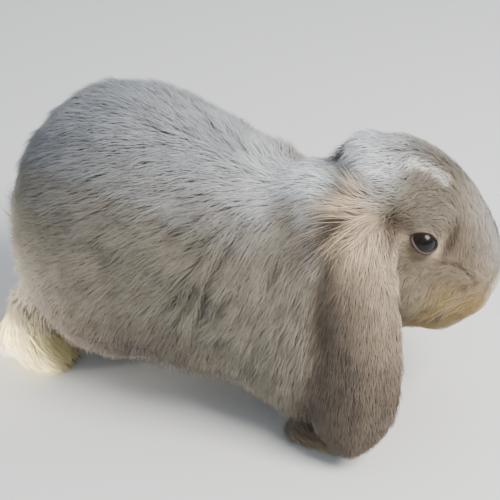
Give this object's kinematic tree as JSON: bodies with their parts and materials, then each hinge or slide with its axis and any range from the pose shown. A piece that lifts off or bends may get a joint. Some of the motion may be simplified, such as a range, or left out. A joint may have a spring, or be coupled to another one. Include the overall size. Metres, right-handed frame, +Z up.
{
  "type": "lop-eared rabbit",
  "caption": "Life-size still model of a grey lop-eared rabbit in a slow step, head turned to its left, ears hanging to the floor.",
  "frame": {"origin": "on the floor, under the middle of the rabbit's bounding box", "axes": "+X from the tail towards the nose, +Y to the rabbit's left, +Z up"},
  "size_m": [0.3198, 0.1668, 0.1762],
  "materials": {
    "coat_body": "soft dense fur, blue-grey over beige grey",
    "coat_face": "short soft fur, beige grey with a white stroke on the brow",
    "coat_ear": "short silky fur, taupe",
    "coat_foot": "short dense fur, grey beige and cream",
    "eye": "wet, glossy, near black"
  },
  "bodies": {
    "root": {"trunk": "coat_body", "neck": "coat_body", "head": "coat_face", "tail": "coat_body", "ear_left": "coat_ear", "ear_right": "coat_ear", "eye_left": "eye", "eye_right": "eye", "haunch_left": "coat_body", "haunch_right": "coat_body", "shoulder_left": "coat_body", "shoulder_right": "coat_body", "foreleg_left": "coat_foot", "foreleg_right": "coat_foot", "hind_foot_left": "coat_foot", "hind_foot_right": "coat_foot"}
  },
  "joints": []
}
